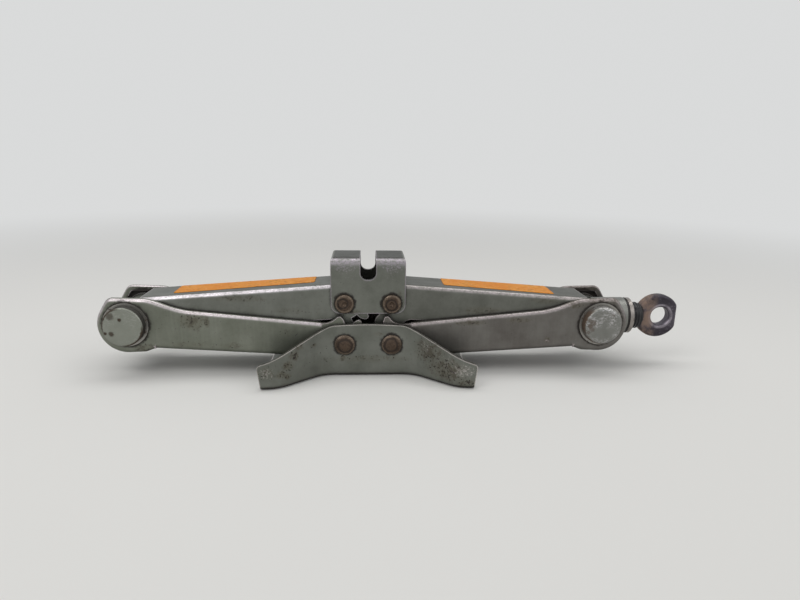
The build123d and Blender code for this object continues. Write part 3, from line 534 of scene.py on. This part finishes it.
def trunnionSteel(name, look, finish):  # forged, faced and zinc-plated: flat pale face, rust held round the rim, painted shade in the corners and round the head's side
    material, add, shader, place = startMaterial(name)
    axis = look["axis"] / mm
    centred = add("Mapping", {"Vector": place, "Location": (-axis.x, 0, -axis.z), "Scale": (1, 0, 1)})
    radius = add("VectorMath", {0: centred}, out="Value", operation="LENGTH")
    parts = add("SeparateXYZ", {"Vector": centred}).node.outputs
    angle = add("Math", {0: parts["Z"], 1: parts["X"]}, operation="ARCTAN2")
    shifted = add("Mapping", {"Vector": place, "Location": look["shift"]})
    clouds = add("TexNoise", {"Vector": shifted, "Scale": 1 / finish["clouds"], "Detail": 5.0, "Roughness": 0.6})
    fine = add("TexNoise", {"Vector": shifted, "Scale": 1 / finish["fine"], "Detail": 6.0, "Roughness": 0.7})
    onHead = add("SeparateXYZ", {"Vector": place}).node.outputs["Y"]
    onHead = add("Math", {0: onHead}, operation="ABSOLUTE")
    onHead = add("MapRange", {"Value": onHead, "From Min": finish["heads"][0], "From Max": finish["heads"][1]})
    specks = 0.0
    for x, z, reach, strength in look["marks"]:  # pits and stains on the faces
        away = reachFrom(add, place, axis.x + x, axis.z + z)
        away = add("Math", {0: fine, 1: 1.5 * reach, 2: away}, operation="MULTIPLY_ADD")
        inside = add("MapRange", {"Value": away, "From Min": 2.0 * reach, "From Max": 1.3 * reach,
                                  "To Max": strength}, **smooth)
        specks = add("Math", {0: specks, 1: inside}, operation="MAXIMUM")
    rim = add("Math", {0: fine, 1: 2.2, 2: radius}, operation="MULTIPLY_ADD")
    rim = add("MapRange", {"Value": rim, "From Min": look["rim"] + 0.6, "From Max": look["rim"] + 1.4}, **smooth)
    around = finish["faint"]
    for middle, half in look["arcs"]:  # rust crescents
        away = add("Math", {0: angle, 1: math.radians(middle)}, operation="SUBTRACT")
        away = add("Math", {0: away}, operation="COSINE")
        start, whole = (math.cos(math.radians(half * share)) for share in (1.3, 0.6))
        near = add("MapRange", {"Value": away, "From Min": start, "From Max": whole}, **smooth)
        around = add("Math", {0: around, 1: near}, operation="MAXIMUM")
    rust = add("Math", {0: rim, 1: around}, operation="MULTIPLY")
    rust = add("Math", {0: rust, 1: specks}, operation="MAXIMUM")
    rust = add("Math", {0: rust, 1: onHead}, operation="MULTIPLY")
    drawn = add("Mapping", {"Vector": shifted, "Rotation": (0, 0.5, 0), "Scale": (0.6, 1.0, 1.0)})
    scratch = add("TexNoise", {"Vector": drawn, "Scale": 1 / finish["scratch"], "Detail": 6.0, "Roughness": 0.75})
    scratch = add("MapRange", {"Value": scratch, "From Min": 0.47, "From Max": 0.6}, **smooth)
    scuffed = 0.0
    for where, reach, share in ((parts["Z"], "scuffHigh", 1.0), (radius, "scuffOut", 0.7)):
        start, whole = finish[reach]
        inside = add("MapRange", {"Value": where, "From Min": start, "From Max": whole,
                                  "To Max": share * look["scuff"]}, **smooth)
        scuffed = add("Math", {0: scuffed, 1: inside}, operation="MAXIMUM")
    struck = add("MapRange", {"Value": clouds, "From Min": 0.4, "From Max": 0.56, "To Min": 0.15}, **smooth)
    bare = scratch
    for share in (scuffed, struck, onHead):  # in patches, where it was struck
        bare = add("Math", {0: bare, 1: share}, operation="MULTIPLY")
    # painted shade in the corners
    crevice = add("AmbientOcclusion", {"Distance": finish["crevice"] * mm}, out="AO", samples=8)
    grimeAndShade = add("MapRange", {"Value": crevice, "From Min": 0.65, "From Max": 0.25, "To Max": 0.85}, **smooth)
    facing = add("NewGeometry", out="Normal")
    across = add("VectorMath", {0: facing, 1: (0, 1, 0)}, out="Value", operation="DOT_PRODUCT")
    across = add("Math", {0: across}, operation="ABSOLUTE")
    wall = add("MapRange", {"Value": across, "From Min": 0.45, "From Max": 0.1, "To Max": look["wall"]})
    wall = add("Math", {0: wall, 1: onHead}, operation="MULTIPLY")  # dirt and painted shade round the head's side
    grimeAndShade = add("Math", {0: grimeAndShade, 1: wall}, operation="MAXIMUM")
    tone = linear(look["dull"])
    for mask, colour in ((clouds, look["pale"]), (bare, finish["bare"]), (rust, look["rust"]),
                         (grimeAndShade, finish["grimeAndShade"])):
        tone = add("Mix", {0: mask, 6: tone, 7: linear(colour)}, **rgba)
    # this dirt also holds the painted shade
    dirt = add("Math", {0: rust, 1: grimeAndShade}, operation="MAXIMUM")
    metal, rough = (add("MapRange", {"Value": dirt, "To Min": clean, "To Max": dirty})
                    for clean, dirty in (finish["metal"], finish["rough"]))
    height = add("Math", {0: bare, 1: 0.4, 2: fine}, operation="MULTIPLY_ADD")
    height = add("Math", {0: rust, 1: -0.5, 2: height}, operation="MULTIPLY_ADD")
    return finishMaterial(material, shader, tone, rough, height, finish["bump"], metal)


for node, look in trunnionLooks.items():
    dress(node, trunnionSteel("platedForging_" + node, look, trunnionFinish))
print("trunnions dressed")

# handle eye: greased collar, forged eye with a rust bloom at its root
eyeLook = {
    "collarEnd": 44.0,  # mm from the right trunnion, where the grease stops
    "bulge": 0.03,  # the grease reaches less far above and below the axis, mm for a mm squared
    "bloom": (46.0, 8.0),  # middle and half width of the rust bloom, mm from the trunnion
    "hole": (13.8, 9.2, 1.6),  # from the squared end to its middle, then radius and half width of the pale painted highlight round it, mm
    "edgeShade": (6.0, 13.0, 0.55),  # mm from the axis, where the painted shade on the eye's top and bottom starts and is whole, and its darkest tone
    "clouds": 7.0, "fine": 1.3,  # mm
    "forged": "#35323A", "forgedPale": "#69636C", "bloomColour": "#8D7769", "fleck": "#A39DA6",
    # rim: the painted highlight round the hole
    "grease": "#121113", "rim": "#B1AAB2",
    "metal": (0.9, 0.1), "rough": (0.42, 0.85), "wet": -0.15,  # clean and rusty, and what grease takes off
    "bump": (0.5, 0.25),  # strength, and depth in mm
}


def forgedEyeSteel(name, look):  # hammered black forging: dark purple-brown scale, chalky rust, wet greased collar, painted shade on the eye's top and bottom, a painted highlight round the hole
    material, add, shader, place = startMaterial(name)
    startX, axisZ = pivots["block_pivot"].x / mm, pivots["screw_turn"].z / mm
    parts = add("SeparateXYZ", {"Vector": place}).node.outputs
    along = add("Math", {0: parts["X"], 1: startX}, operation="SUBTRACT")
    rise = add("Math", {0: parts["Z"], 1: axisZ}, operation="SUBTRACT")
    clouds = add("TexNoise", {"Vector": place, "Scale": 1 / look["clouds"], "Detail": 6.0, "Roughness": 0.65})
    fine = add("TexNoise", {"Vector": place, "Scale": 1 / look["fine"], "Detail": 5.0, "Roughness": 0.7})
    # painted shade, darker towards the eye's top and bottom
    offAxis = add("Math", {0: rise}, operation="ABSOLUTE")
    begins, whole, shade = look["edgeShade"]
    shadedTowardEdges = add("MapRange", {"Value": offAxis, "From Min": begins, "From Max": whole, "To Min": 1.0,
                              "To Max": shade}, **smooth)
    fromEnd, holeRadius, holeRim = look["hole"]
    ring = reachFrom(add, place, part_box("handle_eye")[1].x / mm - fromEnd, axisZ)
    ring = add("Math", {0: ring, 1: holeRadius}, operation="SUBTRACT")
    ring = add("Math", {0: ring}, operation="ABSOLUTE")
    ring = add("MapRange", {"Value": ring, "From Min": holeRim, "From Max": 0.3 * holeRim, "To Max": 0.75},
               **smooth)
    highlightPatches = add("MapRange", {"Value": clouds, "From Min": 0.35, "From Max": 0.6, "To Min": 0.3})
    worn = add("Math", {0: ring, 1: highlightPatches}, operation="MULTIPLY")  # painted highlight round the hole, in patches
    square = add("Math", {0: rise, 1: rise}, operation="MULTIPLY")
    edge = add("Math", {0: clouds, 1: 3.0, 2: along}, operation="MULTIPLY_ADD")
    edge = add("Math", {0: square, 1: look["bulge"], 2: edge}, operation="MULTIPLY_ADD")
    greased = add("MapRange", {"Value": edge, "From Min": look["collarEnd"] + 1.9,
                               "From Max": look["collarEnd"] + 0.9}, **smooth)
    middle, half = look["bloom"]
    near = add("Math", {0: along, 1: middle}, operation="SUBTRACT")
    near = add("Math", {0: near}, operation="ABSOLUTE")
    near = add("MapRange", {"Value": near, "From Min": half * 1.3, "From Max": half * 0.2}, **smooth)
    patch = add("MapRange", {"Value": clouds, "From Min": 0.3, "From Max": 0.6, "To Max": 0.9}, **smooth)
    bloom = add("Math", {0: near, 1: patch}, operation="MULTIPLY")
    flecks = add("MapRange", {"Value": fine, "From Min": 0.56, "From Max": 0.7, "To Max": 0.55})
    tone = add("Mix", {0: clouds, 6: linear(look["forged"]), 7: linear(look["forgedPale"])}, **rgba)
    tone = add("Mix", {0: flecks, 6: tone, 7: linear(look["fleck"])}, **rgba)
    tone = add("VectorMath", {0: tone, "Scale": shadedTowardEdges}, operation="SCALE")
    for mask, colour in ((worn, look["rim"]), (bloom, look["bloomColour"]), (greased, look["grease"])):
        tone = add("Mix", {0: mask, 6: tone, 7: linear(colour)}, **rgba)
    dirt = add("Math", {0: bloom, 1: greased}, operation="MAXIMUM")
    metal = add("MapRange", {"Value": dirt, "To Min": look["metal"][0], "To Max": look["metal"][1]})
    rough = add("MapRange", {"Value": bloom, "To Min": look["rough"][0], "To Max": look["rough"][1]})
    rough = add("Math", {0: greased, 1: look["wet"], 2: rough}, operation="MULTIPLY_ADD")
    height = add("Math", {0: clouds, 1: 1.5, 2: fine}, operation="MULTIPLY_ADD")
    return finishMaterial(material, shader, tone, rough, height, look["bump"], metal)


blackForging = forgedEyeSteel("blackForging", eyeLook)
dress("handle_eye", blackForging)
print("handle eye dressed")


def openTree(name, sizes, count):  # a geometry tree whose inputs are lengths, one count and the material
    tree = bpy.data.node_groups.new(name, "GeometryNodeTree")
    sockets = {size: "NodeSocketFloat" for size in sizes}
    sockets.update({count: "NodeSocketInt", "Steel": "NodeSocketMaterial"})
    for socket, kind in sockets.items():
        tree.interface.new_socket(socket, in_out="INPUT", socket_type=kind)
    tree.interface.new_socket("Geometry", in_out="OUTPUT", socket_type="NodeSocketGeometry")
    return tree, partial(addNode, tree), tree.nodes.new("NodeGroupInput").outputs


def closeTree(add, geometry, given):  # laid on the screw's axis, made real and given its material
    spot = add("CombineXYZ", {"X": given["Start"], "Z": given["Height"]})
    turn = (0, math.radians(90), 0)  # from Z to X
    laid = add("GeometryNodeTransform", {"Geometry": geometry, "Rotation": turn, "Translation": spot})
    solid = add("GeometryNodeRealizeInstances", {"Geometry": laid})
    steel = add("GeometryNodeSetMaterial", {"Geometry": solid, "Material": given["Steel"]})
    add("NodeGroupOutput", {"Geometry": steel})


def closeShell(shell, mesh):  # faces pointing outwards
    bmesh.ops.recalc_face_normals(shell, faces=shell.faces)
    shell.to_mesh(mesh)
    shell.free()


def growMesh(name, tree, values):  # the tree's result as a plain mesh
    seed = placeObject(name, bpy.data.meshes.new(name))
    modifier = seed.modifiers.new(name, "NODES")
    modifier.node_group = tree
    for item in tree.interface.items_tree:
        if item.in_out == "INPUT":
            modifier[item.identifier] = values[item.name]
    depsgraph = bpy.context.evaluated_depsgraph_get()
    mesh = bpy.data.meshes.new_from_object(seed.evaluated_get(depsgraph))
    seed.modifiers.remove(modifier)
    bpy.data.objects.remove(seed)
    mesh.name = name
    shell = bmesh.new()
    shell.from_mesh(mesh)
    closeShell(shell, mesh)
    return mesh


# ribs turned round the greased collar
ribLook = {  # mm
    "count": 4,
    "first": 1.5,  # middle of the first rib, from the collar's face
    "pitch": 2.3,
    "tube": 0.75,  # radius of a rib's section
    "radius": 10.4,  # of the collar
    "straight": 5.5,  # length before the collar's end is rounded
    "round": 6.0,
    "sunk": 0.25,
}


def ribTree():  # rings along Z, smaller where the collar's end is rounded
    sizes = ("First", "Pitch", "Tube", "Radius", "Straight", "Round", "Sunk", "Start", "Height")
    tree, add, given = openTree("collarRibs", sizes, "Count")
    first = add("CombineXYZ", {"Z": given["First"]})
    step = add("CombineXYZ", {"Z": given["Pitch"]})
    line = add("GeometryNodeMeshLine", {"Count": given["Count"], "Start Location": first, "Offset": step},
               mode="OFFSET")
    here = add("GeometryNodeInputPosition")
    along = add("SeparateXYZ", {"Vector": here}).node.outputs["Z"]
    past = add("Math", {0: along, 1: given["Straight"]}, operation="SUBTRACT")
    past = add("Math", {0: past, 1: 0.0}, operation="MAXIMUM")
    past = add("Math", {0: past, 1: past}, operation="MULTIPLY")
    whole = add("Math", {0: given["Round"], 1: given["Round"]}, operation="MULTIPLY")
    left = add("Math", {0: whole, 1: past}, operation="SUBTRACT")
    left = add("Math", {0: left}, operation="SQRT")
    fall = add("Math", {0: given["Round"], 1: left}, operation="SUBTRACT")
    sunk = add("Math", {0: given["Radius"], 1: given["Sunk"]}, operation="SUBTRACT")
    reach = add("Math", {0: sunk, 1: fall}, operation="SUBTRACT")
    share = add("Math", {0: reach, 1: sunk}, operation="DIVIDE")
    size = add("CombineXYZ", {"X": share, "Y": share, "Z": 1.0})
    path = add("GeometryNodeCurvePrimitiveCircle", {"Resolution": 72, "Radius": sunk})
    section = add("GeometryNodeCurvePrimitiveCircle", {"Resolution": 12, "Radius": given["Tube"]})
    ring = add("GeometryNodeCurveToMesh", {"Curve": path, "Profile Curve": section})
    rings = add("GeometryNodeInstanceOnPoints", {"Points": line, "Instance": ring, "Scale": size})
    closeTree(add, rings, given)
    return tree


def makeRibs(look):
    values = {key.capitalize(): look[key] * mm for key in look if key != "count"}
    values.update({"Count": look["count"], "Start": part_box("handle_eye")[0].x, "Height": pivots["screw_turn"].z,
                   "Steel": blackForging})
    mesh = growMesh("collarRibs", ribTree(), values)
    mesh.shade_smooth()
    finishObject("collarRibs", mesh, "screw", blackForging)
    print("collar ribbed:", len(mesh.polygons), "faces")


makeRibs(ribLook)

# lead screw with its thread, in place of the plain bar
screwLook = {
    "pitch": 3.0, "depth": 1.5,  # mm
    "foot": 0.85, "crest": 0.3,  # width of the ridge at its foot and its crest, over the pitch
    "segments": 20,  # points in one turn
    "plain": 4.0,  # mm before the block, where the thread ends
    "film": 9.0,  # mm, size of the oil's patches
    "crests": (5.4, 6.4), "oilThick": 1.6,  # mm from the axis, where the steel is bare, and how far oil moves it
    "steel": "#6A6460", "oiled": "#35302D",
    "metal": (0.35, 1.0), "rough": (0.2, 0.5),  # under oil and bare
    "bump": (0.3, 0.1),  # strength, and depth in mm
}


def greasedScrewSteel(name, look):  # rolled thread: bright crests, dark oil held in the roots
    material, add, shader, place = startMaterial(name)
    axis = pivots["screw_turn"] / mm
    centred = add("Mapping", {"Vector": place, "Location": (0, -axis.y, -axis.z), "Scale": (0, 1, 1)})
    radius = add("VectorMath", {0: centred}, out="Value", operation="LENGTH")
    film = add("TexNoise", {"Vector": place, "Scale": 1 / look["film"], "Detail": 5.0})
    crest = add("Math", {0: film, 1: -look["oilThick"], 2: radius}, operation="MULTIPLY_ADD")
    start, whole = look["crests"]
    crest = add("MapRange", {"Value": crest, "From Min": start, "From Max": whole}, **smooth)
    tone = add("Mix", {0: crest, 6: linear(look["oiled"]), 7: linear(look["steel"])}, **rgba)
    metal = add("MapRange", {"Value": crest, "To Min": look["metal"][0], "To Max": look["metal"][1]})
    rough = add("MapRange", {"Value": film, "To Min": look["rough"][0], "To Max": look["rough"][1]})
    return finishMaterial(material, shader, tone, rough, film, look["bump"], metal)


def threadTree():  # a ridge swept along a helix on a core, with a plain shank, upright
    sizes = ("Length", "Pitch", "Core", "Depth", "Foot", "Crest", "Shank", "Start", "Height")
    tree, add, given = openTree("rolledThread", sizes, "Segments")
    turns = add("Math", {0: given["Length"], 1: given["Pitch"]}, operation="DIVIDE")
    helix = add("GeometryNodeCurveSpiral", {"Resolution": given["Segments"], "Rotations": turns,
                                            "Start Radius": given["Core"], "End Radius": given["Core"],
                                            "Height": given["Length"]})
    upright = add("GeometryNodeSetCurveNormal", {"Curve": helix}, mode="Z_UP")
    ridge = add("GeometryNodeCurvePrimitiveQuadrilateral",
                {"Bottom Width": given["Foot"], "Top Width": given["Crest"], "Offset": 0.0,
                 "Height": given["Depth"]}, mode="TRAPEZOID")
    ridge = add("GeometryNodeTransform", {"Geometry": ridge, "Rotation": (0, 0, math.radians(-90))})
    thread = add("GeometryNodeCurveToMesh", {"Curve": upright, "Profile Curve": ridge, "Fill Caps": True})
    whole = add("Math", {0: given["Length"], 1: given["Shank"]}, operation="ADD")
    outer = add("Math", {0: given["Core"], 1: given["Depth"]}, operation="ADD")
    shankMiddle = add("Math", {0: given["Shank"], 1: 0.5, 2: given["Length"]}, operation="MULTIPLY_ADD")
    coreMiddle = add("Math", {0: whole, 1: 0.5}, operation="MULTIPLY")
    joined = tree.nodes.new("GeometryNodeJoinGeometry")
    for sides, radius, length, middle in ((64, outer, given["Shank"], shankMiddle),
                                          (48, given["Core"], whole, coreMiddle)):
        bar = add("GeometryNodeMeshCylinder", {"Vertices": sides, "Radius": radius, "Depth": length}, out="Mesh")
        lift = add("CombineXYZ", {"Z": middle})
        bar = add("GeometryNodeTransform", {"Geometry": bar, "Translation": lift})
        tree.links.new(bar, joined.inputs[0])
    tree.links.new(thread, joined.inputs[0])
    closeTree(add, joined.outputs[0], given)
    return tree


def makeScrew(look):
    low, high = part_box("lead_screw")
    pitch, depth = look["pitch"] * mm, look["depth"] * mm
    shank = high.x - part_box("trunnion_block")[0].x + look["plain"] * mm  # plain where it turns in the block
    steel = greasedScrewSteel("greasedScrewSteel", look)
    values = {
        "Length": high.x - low.x - shank, "Pitch": pitch, "Core": (high.z - low.z) / 2 - depth, "Depth": depth,
        "Foot": pitch * look["foot"], "Crest": pitch * look["crest"], "Shank": shank, "Start": low.x,
        "Height": pivots["screw_turn"].z, "Segments": look["segments"], "Steel": steel,
    }
    mesh = growMesh("leadScrewThread", threadTree(), values)
    piece = finishObject("leadScrewThread", mesh, "screw", steel)
    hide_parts("lead_screw")
    print("screw threaded:", len(mesh.polygons), "faces")


makeScrew(screwLook)

# plain orange labels on the upper arms
labelLooks = {  # ends along X and sides along Y in mm, at the outer end and at the saddle end
    "leftLabel": {"arm": "upper_left_arm", "body": "upper_left", "ends": (-149.6, -41.7),
                  "near": (-9.5, -5.0), "far": (16.0, 16.4), "seed": 3},
    "rightLabel": {"arm": "upper_right_arm", "body": "upper_right", "ends": (147.0, 59.3),
                   "near": (-12.5, -8.0), "far": (14.6, 16.0), "seed": 8},
}
labelFilm = {
    "thick": 0.2, "lift": 0.03, "corner": 2.0,  # mm
    "ripple": 0.05, "wave": 7.0,  # mm, height and length
    "along": 90, "across": 20,  # faces
    "above": 200,  # mm, from where it is laid down
    "clouds": 14.0, "scuff": 2.6, "chips": 3.1,  # mm
    "wornCut": (0.35, 0.75), "wornSoft": (-0.05, 0.12), "worn": 0.6,
    "orange": "#CF7C16", "faded": "#D88F2E", "backing": "#E6C08C", "soil": "#6B4314",
    "rough": (0.4, 0.7), "sheen": 0.25,
    "bump": (0.25, 0.08),  # strength, and depth in mm
}


def orangeVinyl(name, look):  # cast vinyl film, matt from wear: flat orange, faded in clouds, soiled scuffs
    material, add, shader, place = startMaterial(name)
    clouds = add("TexNoise", {"Vector": place, "Scale": 1 / look["clouds"], "Detail": 5.0, "Roughness": 0.65})
    faded = add("MapRange", {"Value": clouds, "From Min": 0.35, "From Max": 0.65})
    drawn = add("Mapping", {"Vector": place, "Rotation": (0, 0, 0.6), "Scale": (0.6, 1, 1)})
    scuff = add("TexNoise", {"Vector": drawn, "Scale": 1 / look["scuff"], "Detail": 6.0, "Roughness": 0.66})
    worn = breakThrough(add, scuff, clouds, look["wornCut"], look["wornSoft"], look["worn"])
    chips = add("TexNoise", {"Vector": place, "Scale": 1 / look["chips"], "Detail": 4.0})
    chips = add("MapRange", {"Value": chips, "From Min": 0.66, "From Max": 0.7, "To Max": 0.7}, **smooth)
    tone = linear(look["orange"])
    for mask, colour in ((faded, "faded"), (chips, "backing"), (worn, "soil")):
        tone = add("Mix", {0: mask, 6: tone, 7: linear(look[colour])}, **rgba)
    rough = add("MapRange", {"Value": scuff, "To Min": look["rough"][0], "To Max": look["rough"][1]})
    shader.inputs["Specular IOR Level"].default_value = look["sheen"]
    return finishMaterial(material, shader, tone, rough, scuff, look["bump"])


def makeLabel(name, look, film, material):  # a film laid straight down on the arm
    columns, rows, corner = film["along"], film["across"], film["corner"]
    first, last = look["ends"]
    down = Vector((0, 0, -1))
    shell = bmesh.new()
    under, over = [], []
    for i in range(columns + 1):
        t = i / columns
        x = first + t * (last - first)
        near, far = (look[side][0] + t * (look[side][1] - look[side][0]) for side in ("near", "far"))
        toEnd = min(t, 1 - t) * abs(last - first)
        cut = corner - math.sqrt(max(corner ** 2 - max(corner - toEnd, 0) ** 2, 0))  # rounds the corners
        for j in range(rows + 1):
            y = near + cut + (far - near - 2 * cut) * j / rows
            point, normal = nodes[look["arm"]].ray_cast(Vector((x, y, film["above"])) * mm, down)[1:3]
            ripple = film["ripple"] * noise.noise(Vector((x / film["wave"], y / film["wave"], look["seed"])))
            under.append(shell.verts.new(point + normal * film["lift"] * mm))
            over.append(shell.verts.new(point + normal * (film["lift"] + film["thick"] + ripple) * mm))
    wide = rows + 1
    for layer, turn in ((under, -1), (over, 1)):
        for i in range(columns):
            for j in range(rows):
                a, b = i * wide + j, (i + 1) * wide + j
                shell.faces.new([layer[k] for k in (a, b, b + 1, a + 1)][::turn])
    rim = [i * wide for i in range(columns + 1)] + [columns * wide + j for j in range(1, wide)]
    rim += [i * wide + rows for i in range(columns - 1, -1, -1)] + list(range(rows - 1, 0, -1))
    for a, b in zip(rim, rim[1:] + rim[:1]):
        shell.faces.new([under[a], under[b], over[b], over[a]])
    mesh = bpy.data.meshes.new(name)
    closeShell(shell, mesh)
    mesh.shade_smooth()
    finishObject(name, mesh, look["body"], material)


vinyl = orangeVinyl("castVinylFilm", labelFilm)
for name, look in labelLooks.items():
    makeLabel(name, look, labelFilm, vinyl)
print("labels laid")
